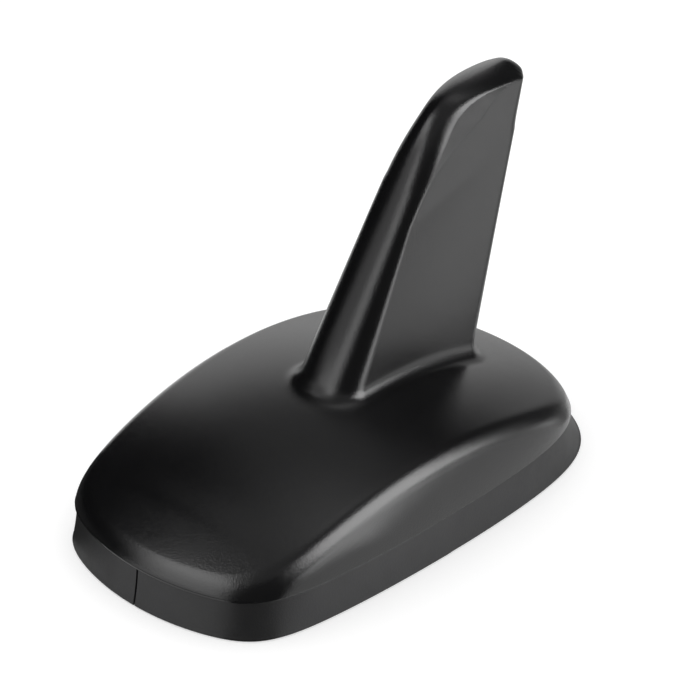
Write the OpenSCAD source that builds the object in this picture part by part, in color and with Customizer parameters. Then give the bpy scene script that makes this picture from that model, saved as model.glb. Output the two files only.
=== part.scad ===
// Shark fin roof aerial: a moulded cover with a swept fin, on a rubber skirt and a stick-on base plate.
// X is across the car, the nose points to -Y, and Z = 0 is the roof surface under the adhesive pad.

/* [Foot] */
// Length of the rubber skirt along the roof
foot_l = 104; // [98:1:120]
// Width of the rubber skirt across the roof
foot_w = 61; // [58:1:72]
// Height of the cover's lower rim above the roof
rim_h = 7.9; // [7.6:0.1:9]
// Spread of the skirt beyond the rim at the nose
nose_flare = 0.8; // [0.3:0.1:2]
// Spread of the skirt beyond the rim at the sides
side_flare = 0.5; // [0.2:0.1:2]
// Spread of the skirt beyond the rim at the tail
tail_flare = 3.2; // [1:0.1:5]
// Step from the cover's rim in to the top of the skirt
rim_overhang = 0.4; // [0.2:0.1:0.8]
// Width of the butt joint in the skirt at the nose
joint_gap = 0.3; // [0.2:0.05:0.6]

/* [Plan] */
// Radius of the long sides seen from above
side_bow_r = 342; // [250:1:500]
// Radius of the nose seen from above
nose_bow_r = 49.5; // [44:0.5:70]
// Radius of the tail seen from above
tail_bow_r = 42; // [36:0.5:60]
// Distance behind the middle at which the base is widest
widest_y = 6.3; // [0:0.1:9]
// Squareness of the front corners
nose_square = 13.6; // [9:0.1:16]
// Squareness of the rear corners
tail_square = 9.6; // [7:0.1:14]

/* [Cover] */
// Height of the arched top above the roof
crown_h = 23.2; // [22.6:0.1:26]
// Distance of the highest point ahead of the middle
crown_front = 1.5; // [0:0.1:4]
// Radius of the arch along the car
crown_long_r = 94.5; // [90:0.5:120]
// Radius of the arch across the car
crown_cross_r = 111; // [90:0.5:140]
// Radius of the shoulder between top and sides
shoulder_r = 3.5; // [2.5:0.1:4.5]
// Lean of the side walls from upright, in degrees
side_draft = 9.8; // [4:0.1:12]
// Wall thickness of the moulding
wall = 2; // [1.6:0.1:2.4]

/* [Fin] */
// Distance of the fin's front foot ahead of the middle
fin_front = 5.8; // [4:0.1:7]
// Lean of the fin's front edge from upright, in degrees
fin_lean = 32.7; // [29:0.1:34]
// Depth below the fin's top at which the straight front edge ends
knee_down = 21.8; // [20:0.1:24]
// Height of the fin above the roof
tip_h = 72.6; // [69:0.1:75]
// Distance of the fin's rearmost point ahead of the cover's tail
tip_in = 0; // [-1:0.1:2.5]
// Radius of the corner between the fin's top and its rear face
tip_r = 3.1; // [2:0.1:4]
// Lean of the fin's rear face from upright, in degrees
rear_lean = 15.9; // [12:0.1:18]
// Fullness of the knee where the front edge bends over
knee_full = 28.9; // [26:0.1:30]
// Fullness of the top just ahead of the tip
tip_full = 18; // [14:0.1:19]
// Direction of the top edge where that corner starts, in degrees from upright
tip_lean = 89.5; // [84:0.5:90]
// Distance below that corner at which the section through the knee meets the rear face
knee_drop = 8.1; // [7:0.1:9.5]
// Thickness of the fin behind its front face, at the foot
foot_t = 14.9; // [14:0.1:16]
// Thickness of the fin behind its front face, at the knee
knee_t = 10.2; // [9.6:0.1:11]
// Thickness of the fin behind its front face, at the tip
tip_t = 9.3; // [9:0.1:9.8]
// Thickness of the fin ahead of its rear face, at the foot
rear_foot_t = 13; // [12:0.1:14]
// Thickness of the fin ahead of its rear face, at the knee
rear_knee_t = 9.6; // [9:0.1:10]
// Thickness of the fin ahead of its rear face, at the tip
rear_tip_t = 9.6; // [9:0.1:9.8]
// Depth of the rounded front face for each millimetre of half thickness, below the knee
face_bow = 0.75; // [0.6:0.01:0.85]
// The same depth at the tip
tip_face_bow = 0.77; // [0.6:0.01:0.9]
// Depth of the bevel's lower edge for each millimetre of half thickness, where it is deepest
bevel_low = 1.9; // [1.2:0.01:2.1]
// Slope of the bevel against the fin's side
bevel_slope = 0.15; // [0.05:0.01:0.2]
// Depth of the rounded rear face, below the knee
rear_bow = 4.2; // [3:0.1:5]
// Depth of the rounded rear face at the tip
tip_bow = 3.8; // [2.8:0.1:4.4]
// Fullness of the roundings at the tip, where 2 is an ellipse
tip_round = 1.6; // [1.5:0.1:2]
// Radius of the fillet round the fin's foot
fillet_r = 3; // [2:0.1:4]

/* [Base] */
// Thickness of the adhesive pad
pad_t = 1.1; // [0.8:0.1:1.4]
// Thickness of the base plate
plate_t = 2.5; // [2.3:0.1:2.8]
// Distance from the rim in to the tongue that stands on the plate
tongue_in = 2.7; // [2.5:0.1:3]
// Thickness of the tongue
tongue_t = 1.8; // [1.7:0.1:2]
// Height of the step where the tongue joins the cover
tongue_root = 1.4; // [1.2:0.1:1.8]
// Width of the lip that the skirt turns under the plate
lip_w = 2.4; // [2:0.1:3]
// Width of the seal cord
seal_w = 1; // [0.8:0.1:1.1]
// Depth of the seal groove
seal_d = 0.9; // [0.6:0.1:1.1]
// Gap between pieces that slide or drop into each other
fit_gap = 0.1; // [0.05:0.01:0.15]

/* [Screws] */
// Distance from the cover's sides in to the cover screws
screw_side = 11.3; // [11.2:0.1:12]
// Distance from the cover's nose in to the front cover screws
screw_nose = 16.5; // [16.4:0.1:18]
// Distance from the cover's tail in to the rear cover screws
screw_tail = 15.6; // [15.5:0.1:17]
// Thread diameter of a cover screw
screw_d = 2.9; // [2.5:0.1:3]
// Length of a cover screw under its head
screw_l = 9.5; // [8:0.1:10]
// Head diameter of a cover screw
head_d = 5.4; // [5:0.1:5.6]
// Head height of a cover screw
head_h = 1.5; // [1.3:0.1:1.6]
// Outer diameter of the bosses that take the cover screws
boss_d = 6.6; // [6.4:0.1:7]
// Height of the plate's bosses above the plate
boss_h = 2; // [1.6:0.1:2.4]

/* [Boards] */
// Gap between the main board and the screw bosses beside it
board_side = 0.9; // [0.8:0.1:1.5]
// Distance from the cover's nose in to the main board
board_nose = 8.2; // [7.8:0.1:9]
// Gap between the main board and the gland behind it
board_tail = 1.3; // [0.8:0.1:2]
// Thickness of the main board
board_t = 1.6; // [1.2:0.1:1.8]
// Height of the board's posts above the plate
post_h = 2.4; // [2:0.1:3]
// Diameter of the board's posts
post_d = 4.6; // [4.2:0.1:5]
// Thread diameter of a board screw
board_screw_d = 1.9; // [1.6:0.1:2]
// Thickness of the upright board in the fin
fin_board_t = 1; // [0.8:0.1:1.2]
// Height of the foam above the fin board, where it is lowest
foam_h = 3.8; // [3:0.1:5]
// Thickness of the foam above the fin board
foam_t = 1.8; // [1.4:0.1:2.2]
// Gap between the fin board and the inside of the fin
fin_board_gap = 1.6; // [1.4:0.1:2.2]
// Margin of the main board on either side of the satellite patch
patch_side = 2; // [1.9:0.1:2.5]
// Margin of the main board ahead of the satellite patch
patch_nose = 4.4; // [4.2:0.1:5]
// Gap between the satellite patch and the shield can behind it
patch_tail = 1; // [0.8:0.1:2]
// Height of the satellite patch
patch_h = 4; // [3:0.1:4.4]
// Thickness of the tape under the patch
tape_t = 0.5; // [0.3:0.1:0.8]
// Mean diameter of the loading coil
coil_d = 4.4; // [4:0.1:5]
// Number of turns of the loading coil
coil_turns = 6; // [4:1:7]

/* [Gland] */
// Diameter of the lead's bore through the gland
lead_d = 4.4; // [3:0.1:5]
// Diameter of the gland's neck in the plate
neck_d = 9; // [8.4:0.1:9.6]
// Diameter of the gland's flanges
flange_d = 12; // [11.6:0.1:12.4]
// Distance from the cover's tail in to the gland
gland_tail = 13.5; // [13:0.1:13.8]

/* [Hidden] */

cover_black = "#26272a";
skirt_black = "#35363a";
plate_black = "#1d1e20";
mask_green = "#1f5a3a";
steel = "#b9bcc0";

// Points round each loft ring, and how half of them split between front face, bevel, flat and rear
columns = 72;
face_cols = 9;
bevel_cols = 3;
back_cols = 8;
flat_cols = columns / 2 - face_cols - bevel_cols - back_cols;
corner_bias = 0.5;
// Least depth given to the bevel's columns
bevel_step = 0.6;
// Steps between which the bevel opens and closes again; a step of 1 is the knee and 2 the tip's corner
bevel_at = [1.1, 1.4, 2];

cover_front = foot_l / 2 - nose_flare;
cover_rear = foot_l / 2 - tail_flare;
cover_half = foot_w / 2 - side_flare;
plate_top = pad_t + plate_t;
boss_top = plate_top + boss_h;
screw_x = cover_half - screw_side;
screw_front = cover_front - screw_nose;
screw_rear = cover_rear - screw_tail;
gland_y = cover_rear - gland_tail;
post_top = plate_top + post_h;
board_top = post_top + board_t;
patch_bottom = board_top + tape_t;
eps = 0.01;

// The screw heads sit this far inside the plate's underside, in pockets this much wider than they are
head_sink = 0.2;
head_seat = pad_t + head_h + head_sink;
head_play = 0.4;
// Room left past the end of a cover screw
blind_l = 0.6;

// Walls of the groove that holds the seal cord inside the tongue's footprint
seal_in = tongue_in + (tongue_t - seal_w) / 2;

// Main board, from between the screw bosses back to the gland, with a screw near each corner
board_w = 2 * (screw_x - boss_d / 2 - board_side);
board_front = cover_front - board_nose;
board_rear = gland_y - flange_d / 2 - board_tail;
board_chamfer = 2;
board_screw_in = 2.6;
board_screw_x = board_w / 2 - board_screw_in;
board_screw_ys = [board_screw_in - board_front, board_rear - board_screw_in];
board_screw_head = [3.6, 1.1];
socket_size = [3, 3, 0.8];
socket_d = 2.6;
socket_h = 2.4;
socket_gap = 0.6;
socket_x = board_screw_x - board_screw_head[0] / 2 - socket_gap - socket_size.x / 2;
socket_y = board_rear - board_screw_in;

// Fin board: front foot, rear foot, the height at which its lower part ends, and its two tabs
fin_board_foot = 8.3 - fin_front;
fin_board_heel = board_rear - 2;
fin_board_waist = crown([0, 0], wall) - 2;
tab_l = 4;
tab_depth = 0.8;
tab_in = [2.5, 3];
tab_ys = [fin_board_foot + tab_in[0], fin_board_heel - tab_l - tab_in[1]];
clip_w = 2.4;
clip_leaf = 0.25;
clip_foot = 2;
clip_bow = 0.3;
clip_h = 2.8;
clip_gap = 0.05;
clip_ys = [(tab_ys[0] + tab_l + tab_ys[1]) / 2, socket_y - (socket_size.y + clip_w) / 2 - socket_gap];
coil_wire = 0.6;
coil_pitch = 1.1;
coil_leg = 2.2;
coil_end = 0.9;
coil_gap = 0.6;
coil_y = fin_board_foot + tab_in[0] + tab_l + 2.5;

// Shielded block ahead of the fin board, with a chip and two filters under it
shield_size = [board_w - 8, 11.6, 3.2];
shield_skin = 0.3;
shield_gap = 3.5;
shield_y = fin_board_foot - shield_gap - shield_size.y / 2;
chip_size = [4.4, 4.4, 0.9];
filter_size = [3.8, 2.4, 1.3];
filter_gap = 0.4;
capacitor_size = [1, 0.8, 0.7];
capacitor_cap = [0.34, 0.02];
capacitor_in = 1.7;
capacitor_step = 3;
choke_size = [5, 3.8];
choke_in = 5.1;

// Satellite patch between the board's front edge and the shield can, and its pin
patch_w = board_w - 2 * patch_side;
patch_front = board_front - patch_nose;
patch_rear = shield_y - shield_size.y / 2 - patch_tail;
patch_l = patch_front + patch_rear;
patch_y = (patch_rear - patch_front) / 2;
pin_d = 0.9;
pin_off = 1.5;
pin_at = [pin_off, patch_y + pin_off];

rear_dir = [sin(rear_lean), cos(rear_lean)];
rear_out = [cos(rear_lean), -sin(rear_lean)];
lead_dir = [sin(fin_lean), cos(fin_lean)];

// Plan outline

// Distance from the middle to the far side of a circle, in the direction with cosine c and sine s
function reach(c, s, cx, cy, r) = let (b = -cx * c - cy * s) -b + sqrt(b * b - cx * cx - cy * cy + r * r);

// Turn of column k round the base; the corners get more columns than the sides
function turn(k) = let (a = 360 * k / columns - 90) a + corner_bias * sin(4 * a) * 180 / PI / 4;

// Outline point in direction a, drawn in by inset, with the skirt's flare where grow is 1
function plan_point(a, inset, grow) =
    let (half = cover_half + grow * side_flare - inset)
    let (front = cover_front + grow * nose_flare - inset)
    let (rear = cover_rear + grow * tail_flare - inset)
    let (way = [half * cos(a), foot_l / 2 * sin(a)])
    let (c = abs(way.x) / norm(way))
    let (s = way.y / norm(way))
    let (side = reach(c, s, half - side_bow_r, widest_y, side_bow_r))
    let (nose = reach(c, s, 0, nose_bow_r - front, nose_bow_r))
    let (tail = reach(c, s, 0, rear - tail_bow_r, tail_bow_r))
    let (n = tail_square + (nose_square - tail_square) * (1 - s) / 2)
    let (r = pow(pow(side, -n) + pow(s < 0 ? nose : tail, -n), -1 / n))
    [r * c * sign(way.x), r * s];

function plan(inset, grow = 0) = [for (k = [0:columns - 1]) plan_point(turn(k), inset, grow)];

// Outward direction of a closed outline at its point k
function outward(points, k) =
    let (n = len(points))
    let (d = points[(k + 1) % n] - points[(k + n - 1) % n])
    [d.y, -d.x] / norm([d.x, d.y]);

function mix(a, b, t) = a * (1 - t) + b * t;

// Arched top

function crown(p, sink = 0) =
    crown_h - sink - pow(p.y + crown_front, 2) / (2 * crown_long_r) - p.x * p.x / (2 * crown_cross_r);

// One ring of the side wall and shoulder; lift runs from the draft angle to 90 degrees
function shoulder_ring(lift, inset, sink, r, low) =
    let (edge = plan(inset))
    [for (k = [0:columns - 1])
        let (o = edge[k])
        let (free = max(crown(o, sink) - low, 0))
        let (rk = min(r, free / (1 - sin(side_draft))))
        let (rise = max(free - rk * (1 - sin(side_draft)), 0))
        let (in = tan(side_draft) * rise + rk * (cos(side_draft) - cos(lift)))
        let (p = o - outward(edge, k) * in)
        [p.x, p.y, max(crown(p, sink) - rk * (1 - sin(lift)), low)]];

// Fin sections

// Where a line through p in direction dir meets the arched top
function settle(p, dir, sink, tries) =
    let (slope = -(p.y + crown_front) / crown_long_r * dir.y - p.x / crown_cross_r * dir.x)
    tries == 0 ? p : settle(p + dir * (crown(p, sink) - p.z) / (dir.z - slope), dir, sink, tries - 1);

tip_centre = [cover_rear - tip_in - tip_r, tip_h - tip_r];
top_end = tip_centre + tip_r * [-cos(tip_lean), sin(tip_lean)];
rear_end = tip_centre + tip_r * rear_out;
lead_foot = [-fin_front, crown([0, -fin_front])];
knee = lead_foot + lead_dir * (tip_h - knee_down - lead_foot.y) / lead_dir.y;
rear_settled = settle([0, rear_end.x, rear_end.y], [0, rear_dir.x, rear_dir.y], 0, 6);
rear_foot = [rear_settled.y, rear_settled.z];
rear_knee = rear_end - rear_dir * knee_drop;
knee_pull = knee + lead_dir * knee_full;
top_pull = top_end - [sin(tip_lean), cos(tip_lean)] * tip_full;

function bend(a, b, c, d, u) = mix(mix(mix(a, b, u), mix(b, c, u), u), mix(mix(b, c, u), mix(c, d, u), u), u);

// Point of the tip's corner, whose outward direction turns from the top edge's to the rear face's
function corner(u) =
    let (a = mix(180 - tip_lean, -rear_lean, u))
    tip_centre + tip_r * [cos(a), sin(a)];

// Ends of the section at step t: 0 is the foot, 1 the knee, 2 the start of the corner, 3 its middle
function front_at(t) = t < 1 ? mix(lead_foot, knee, t)
    : t < 2 ? bend(knee, knee_pull, top_pull, top_end, t - 1) : corner((t - 2) / 2);
function rear_at(t) = t < 1 ? mix(rear_foot, rear_knee, t)
    : t < 2 ? mix(rear_knee, rear_end, t - 1) : corner(1 - (t - 2) / 2);
function by_step(foot, knee, tip, t) = t < 1 ? mix(foot, knee, t) : mix(knee, tip, min(t - 1, 1));

// Rises smoothly from 0 to 1 as t goes from a to b
function ease(a, b, t) = let (u = max(min((t - a) / (b - a), 1), 0)) u * u * (3 - 2 * u);

// Height of a rounding at v, which runs from 1 at its edge to 0 where it is full; n = 2 is an ellipse
function rounding(v, n) = pow(max(1 - pow(abs(v), n), 0), 1 / n);

// Share of the full thickness at distance d from the front edge: a rounding as deep as face, then the
// bevel runs straight on from its end and stops in a crease at the depth low
function face_share(d, face, low, bevel, n) =
    let (k = low > face + eps ? bevel / (1 - bevel) * face / (low - face) : 0)
    let (q = pow(k / (1 - k), 1 / (n - 1)))
    d >= low ? 1 : d >= face ? mix(1 - bevel, 1, (d - face) / (low - face))
    : (1 - bevel) * rounding(1 - d * (1 - q) / face, n) / rounding(q, n);
// Share of the full thickness at distance d from the rear edge
function back_share(d, bow, n) = d >= bow ? 1 : rounding(1 - max(d, 0) / bow, n);

// Distance of column k from the front end of a section, closest together on the two rounded ends
function column_at(k, length, face, low, back) =
    k <= face_cols ? face * (1 - cos(90 * k / face_cols))
    : k <= face_cols + bevel_cols ? mix(face, low, (k - face_cols) / bevel_cols)
    : k <= columns / 2 - back_cols ? mix(low, length - back, (k - face_cols - bevel_cols) / flat_cols)
    : length - back * (1 - sin(90 * (k - columns / 2 + back_cols) / back_cols));

// A whole ring of the fin, drawn in by skin for the inside
function fin_ring(t, skin = 0) =
    let (a = front_at(t))
    let (chord = norm(rear_at(t) - a))
    let (way = (rear_at(t) - a) / chord)
    let (length = chord - 2 * skin)
    let (front = by_step(foot_t, knee_t, tip_t, t) / 2)
    let (rear = by_step(rear_foot_t, rear_knee_t, rear_tip_t, t) / 2)
    let (deep = by_step(face_bow, face_bow, tip_face_bow, t))
    let (n = by_step(2, 2, tip_round, t))
    let (swell = ease(bevel_at[0], bevel_at[1], t) * (1 - ease(bevel_at[1], bevel_at[2], t)))
    let (face = deep * front - skin / 4)
    let (low = face + (bevel_low - deep) * front * swell)
    let (bevel = bevel_slope * (low - face) / front)
    let (bow = by_step(rear_bow, rear_bow, tip_bow, t) - skin / 2)
    [for (k = [0:columns - 1])
        let (d = column_at(min(k, columns - k), length, min(face, 0.3 * length),
            min(max(low, face + bevel_step), 0.5 * length), min(bow, 0.5 * length)))
        let (p = a + way * (d + skin))
        let (behind = mix(length - d, (rear_end - p) * rear_out - skin, min(max(2 * t - 2, 0), 1)))
        let (share = face_share(d, face, low, bevel, n) * back_share(behind, bow, n)
            * back_share(length - d, face * max(t - 2, 0), 2))
        let (x = (mix(front, rear, d / length) - skin) * share)
        [k > columns / 2 ? -x : x, p.x, p.y]];

// Direction in which each column of the fin leaves the arched top, and where it does
function column_dirs(skin) =
    let (low = fin_ring(0, skin))
    let (high = fin_ring(0.5, skin))
    [for (k = [0:columns - 1]) (high[k] - low[k]) / norm(high[k] - low[k])];
function foot_ring(skin, sink) =
    let (low = fin_ring(0, skin))
    let (dirs = column_dirs(skin))
    [for (k = [0:columns - 1]) settle(low[k], dirs[k], sink, 4)];

// Fillet ring between the top (u = 0) and the fin's wall (u = 1)
function fillet_ring(u) =
    let (foot = foot_ring(0, 0))
    let (dirs = column_dirs(0))
    [for (k = [0:columns - 1])
        let (out = outward(foot, k))
        let (flat = [foot[k].x, foot[k].y] + out * fillet_r)
        let (d = [flat.x, flat.y, crown(flat)])
        mix(mix(d, foot[k], u), mix(foot[k], foot[k] + dirs[k] * fillet_r, u), u)];

// Ring of the arched top, part way from the shoulder to the fin's foot
function top_ring(from, to, u, sink) =
    [for (k = [0:columns - 1])
        let (p = mix(from[k], to[k], u))
        [p.x, p.y, crown(p, sink)]];

// Skin through a stack of rings, closed flat below and flat or at a point above
module loft(rings, apex = []) {
    n = len(rings[0]);
    last = len(rings) - 1;
    points = [for (ring = rings) each ring, each apex];
    sides = [for (i = [0:last - 1], k = [0:n - 1])
        let (a = i * n + k)
        let (b = i * n + (k + 1) % n)
        each [[a, a + n, b + n], [a, b + n, b]]];
    top = len(apex) == 0 ? [[for (k = [n - 1:-1:0]) last * n + k]]
        : [for (k = [0:n - 1]) [last * n + k, (last + 1) * n, last * n + (k + 1) % n]];
    polyhedron(points, concat([[for (k = [0:n - 1]) k]], sides, top));
}

module plan_slab(inset, low, high) {
    translate([0, 0, low])
        linear_extrude(high - low)
            polygon(plan(inset));
}

module plan_ring(outer, inner, low, high) {
    difference() {
        plan_slab(outer, low, high);
        plan_slab(inner, low - eps, high + eps);
    }
}

module at_cover_screws() {
    for (x = [-screw_x, screw_x], y = [-screw_front, screw_rear])
        translate([x, y, 0])
            children();
}

// Cover: arched shell and fin in one moulding

function cover_skin() =
    let (lifts = [for (i = [0:6]) mix(side_draft, 90, i / 6)])
    let (wall_rings = [for (lift = lifts) shoulder_ring(lift, 0, 0, shoulder_r, rim_h)])
    let (rim = [for (p = plan(0)) [p.x, p.y, rim_h]])
    let (edge = wall_rings[6])
    let (foot = fillet_ring(0))
    concat([rim], wall_rings,
        [for (i = [1:4]) top_ring(edge, foot, i / 5, 0)],
        [for (i = [0:5]) fillet_ring(i / 5)],
        [fin_ring(0.55), fin_ring(0.8)],
        [for (i = [0:8]) fin_ring(1 + i / 10)],
        [for (i = [0:3]) fin_ring(1.86 + i / 25)],
        [for (i = [1:4]) fin_ring(2 + sin(90 * i / 5))]);

// Inside of the shell above the tongue's root, up into the fin
function cover_hollow() =
    let (low = rim_h + tongue_root)
    let (r = max(shoulder_r - wall, 0.6))
    let (lifts = [side_draft, 40, 65, 90])
    let (wall_rings = [for (lift = lifts) shoulder_ring(lift, wall + 0.3, wall, r, low)])
    let (base = [for (p = plan(wall + 0.3)) [p.x, p.y, low]])
    let (foot = foot_ring(wall, wall))
    concat([base], wall_rings,
        [for (i = [1:3]) top_ring(wall_rings[3], foot, i / 4, wall)],
        [foot],
        [fin_ring(0.55, wall), fin_ring(1, wall), fin_ring(1.1, wall), fin_ring(1.2, wall)]);

// Half-way surface inside the walls, which the bosses run up to
function cover_middle() =
    let (lifts = [side_draft, 50, 90])
    let (half = wall / 2)
    let (wall_rings = [for (lift = lifts) shoulder_ring(lift, half, half, shoulder_r - half, rim_h)])
    let (base = [for (p = plan(half)) [p.x, p.y, 0]])
    let (foot = foot_ring(half, half))
    concat([base], wall_rings, [for (i = [1:3]) top_ring(wall_rings[2], foot, i / 3, half)]);

module cover_bosses() {
    intersection() {
        at_cover_screws()
            translate([0, 0, boss_top])
                cylinder(d = boss_d, h = crown_h, $fn = 40);
        loft(cover_middle());
    }
}

module cover() {
    color(cover_black)
        difference() {
            union() {
                difference() {
                    union() {
                        loft(cover_skin(), [concat([0], corner(0.5))]);
                        plan_ring(tongue_in, tongue_in + tongue_t, plate_top, rim_h + tongue_root / 2);
                    }
                    loft(cover_hollow());
                    plan_slab(tongue_in + tongue_t, rim_h - eps, rim_h + tongue_root + eps);
                }
                cover_bosses();
            }
            at_cover_screws()
                cylinder(d = screw_d + fit_gap, h = head_seat + screw_l + blind_l, $fn = 32);
        }
}

// Skirt: rubber ring, flared at the roof, with a lip turned under the plate

module skirt() {
    levels = [0, 0.25, 0.6, 1];
    spread = [1, 0.62, 0.28, 0];
    rings = [for (i = [0:3])
        let (line = [for (k = [0:columns - 1])
            mix(plan_point(turn(k), rim_overhang, 0), plan_point(turn(k), 0, 1), spread[i])])
        [for (p = line) [p.x, p.y, levels[i] * rim_h]]];
    color(skirt_black)
        difference() {
            loft(rings);
            plan_slab(tongue_in - fit_gap, pad_t, rim_h + eps);
            plan_slab(tongue_in + lip_w, -eps, pad_t + eps);
            translate([-joint_gap / 2, -foot_l, -1])
                cube([joint_gap, foot_l - cover_front + tongue_in + lip_w + 4, rim_h + 2]);
        }
}

// Base plate: moulded floor with screw bosses, board posts, seal groove and gland hole

module at_board_screws() {
    for (x = [-board_screw_x, board_screw_x], y = board_screw_ys)
        translate([x, y, 0])
            children();
}

module plate_ribs() {
    rib = [1, 1.4];
    in = 3.5;
    for (x = [in - screw_x, screw_x - in])
        translate([x - rib[0] / 2, 2 * in - screw_front, plate_top - eps])
            cube([rib[0], screw_front + screw_rear - 4 * in, rib[1]]);
    for (y = [-14, 8])
        translate([in - screw_x, y, plate_top - eps])
            cube([2 * (screw_x - in), rib[0], rib[1]]);
}

module base_plate() {
    color(plate_black)
        difference() {
            union() {
                plan_slab(tongue_in, pad_t, plate_top);
                at_cover_screws()
                    translate([0, 0, pad_t])
                        cylinder(d = boss_d + 0.8, h = plate_t + boss_h, $fn = 40);
                at_board_screws()
                    translate([0, 0, pad_t])
                        cylinder(d = post_d, h = plate_t + post_h, $fn = 32);
                plate_ribs();
            }
            plan_ring(seal_in - fit_gap / 2, seal_in + seal_w + fit_gap / 2,
                plate_top - seal_d, plate_top + eps);
            at_cover_screws() {
                cylinder(d = screw_d + 2 * fit_gap, h = boss_top + 1, $fn = 32);
                translate([0, 0, -eps])
                    cylinder(d = head_d + head_play, h = head_seat + eps, $fn = 40);
            }
            at_board_screws()
                translate([0, 0, plate_top - 0.8])
                    cylinder(d = board_screw_d + fit_gap, h = post_h + 2, $fn = 24);
            translate([0, gland_y, 0])
                cylinder(d = neck_d + fit_gap, h = plate_top + 1, $fn = 48);
        }
}

module seal_cord() {
    color("#8d9297")
        plan_ring(seal_in, seal_in + seal_w, plate_top - seal_d, plate_top);
}

module adhesive_pad() {
    color("#3b3c3f")
        difference() {
            plan_slab(tongue_in + lip_w + fit_gap, 0, pad_t);
            at_cover_screws()
                translate([0, 0, -1])
                    cylinder(d = head_d + head_play + 1, h = 3, $fn = 40);
            translate([0, gland_y, -1])
                cylinder(d = flange_d + 1, h = 3, $fn = 48);
        }
}

// Pan-head screw with a cross recess, head down at z = 0, shank upwards
module pan_screw(head_d, head_h, thread_d, length) {
    difference() {
        rotate_extrude($fn = 36)
            polygon([[0, 0], [head_d / 2 - 0.6, 0], [head_d / 2 - 0.15, 0.35], [head_d / 2, 0.9],
                [head_d / 2, head_h], [thread_d / 2, head_h], [thread_d / 2, head_h + length - 1],
                [thread_d / 4, head_h + length], [0, head_h + length]]);
        for (a = [0, 90])
            rotate(a)
                translate([-head_d * 0.3, -0.3, -1])
                    cube([head_d * 0.6, 0.6, 1.8]);
    }
}

module cover_screws() {
    color(steel)
        at_cover_screws()
            translate([0, 0, head_seat - head_h])
                pan_screw(head_d, head_h, screw_d, screw_l);
}

module lead_gland() {
    low = 0.3;
    spout = 3.2;
    flange_t = 1.2;
    color("#202124")
        translate([0, gland_y, 0])
            difference() {
                rotate_extrude($fn = 60)
                    polygon([[0, low], [flange_d / 2 - 0.4, low], [flange_d / 2, low + 0.4],
                        [flange_d / 2, pad_t], [neck_d / 2, pad_t], [neck_d / 2, plate_top],
                        [flange_d / 2, plate_top],
                        [flange_d / 2 - 0.5, plate_top + flange_t], [lead_d / 2 + 1.7, plate_top + flange_t],
                        [lead_d / 2 + 0.9, plate_top + flange_t + spout], [0, plate_top + flange_t + spout]]);
                cylinder(d = lead_d, h = plate_top + flange_t + spout + 1, $fn = 48);
            }
}

// Boards

module main_board() {
    w = board_w / 2;
    color(mask_green)
        difference() {
            translate([0, 0, post_top])
                linear_extrude(board_t)
                    polygon([[-w, board_chamfer - board_front], [board_chamfer - w, -board_front],
                        [w - board_chamfer, -board_front], [w, board_chamfer - board_front],
                        [w, board_rear], [-w, board_rear]]);
            at_board_screws()
                cylinder(d = board_screw_d + 0.4, h = board_top + 1, $fn = 24);
            for (y = tab_ys)
                translate([-fin_board_t / 2 - fit_gap, y - fit_gap, post_top - 1])
                    cube([fin_board_t + 2 * fit_gap, tab_l + 2 * fit_gap, board_t + 2]);
            translate([pin_at.x, pin_at.y, post_top - 1])
                cylinder(d = pin_d + 2 * fit_gap, h = board_t + 2, $fn = 24);
        }
}

module board_screws() {
    color(steel)
        at_board_screws()
            translate([0, 0, board_top + board_screw_head[1]])
                mirror([0, 0, 1])
                    pan_screw(board_screw_head[0], board_screw_head[1], board_screw_d,
                        board_t + post_h - 0.2);
}

// Upright board: a tapered tongue that follows the inside of the fin, with a raised copper zigzag
foam_roof = fin_ring(1.2, wall);
fin_board_top = min(foam_roof[0].z, foam_roof[columns / 2].z) - foam_h;
function board_front_y(z) = lead_foot.x + (z - lead_foot.y) * tan(fin_lean) + wall + fin_board_gap;
function board_front_z(y) = lead_foot.y + (y - lead_foot.x - wall - fin_board_gap) / tan(fin_lean);
function board_rear_y(z) =
    let (a = fin_ring(0, wall)[columns / 2])
    let (b = fin_ring(1, wall)[columns / 2])
    mix(a.y, b.y, (z - a.z) / (b.z - a.z)) - fin_board_gap;

module fin_board() {
    top = fin_board_top;
    low = board_top;
    tab_end = post_top - tab_depth;
    copper_t = 0.1;
    copper_w = 1.2;
    rows = 7;
    step = (top - 12 - fin_board_waist) / (rows - 1);
    color(mask_green)
        translate([-fin_board_t / 2, 0, 0])
            rotate([90, 0, 90])
                linear_extrude(fin_board_t) {
                    polygon([[fin_board_foot, low], [fin_board_heel, low], [fin_board_heel, fin_board_waist],
                        [board_rear_y(top), top], [board_front_y(top) + 1.6, top],
                        [board_front_y(top - 5), top - 5],
                        [fin_board_foot, board_front_z(fin_board_foot)]]);
                    for (y = tab_ys)
                        translate([y, tab_end])
                            square([tab_l, low + eps - tab_end]);
                }
    color("#b87333")
        for (i = [0:rows - 1]) {
            z = fin_board_waist + 4 + i * step;
            y0 = board_front_y(z) + 2;
            y1 = board_rear_y(z) - 3;
            translate([fin_board_t / 2 - eps, y0, z])
                cube([copper_t, y1 - y0, copper_w]);
            turn_y = i % 2 == 0 ? y1 - copper_w : board_front_y(z + step) + 2;
            if (i < rows - 1)
                translate([fin_board_t / 2 - eps, turn_y, z])
                    cube([copper_t, copper_w, step + copper_w]);
        }
}

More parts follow.
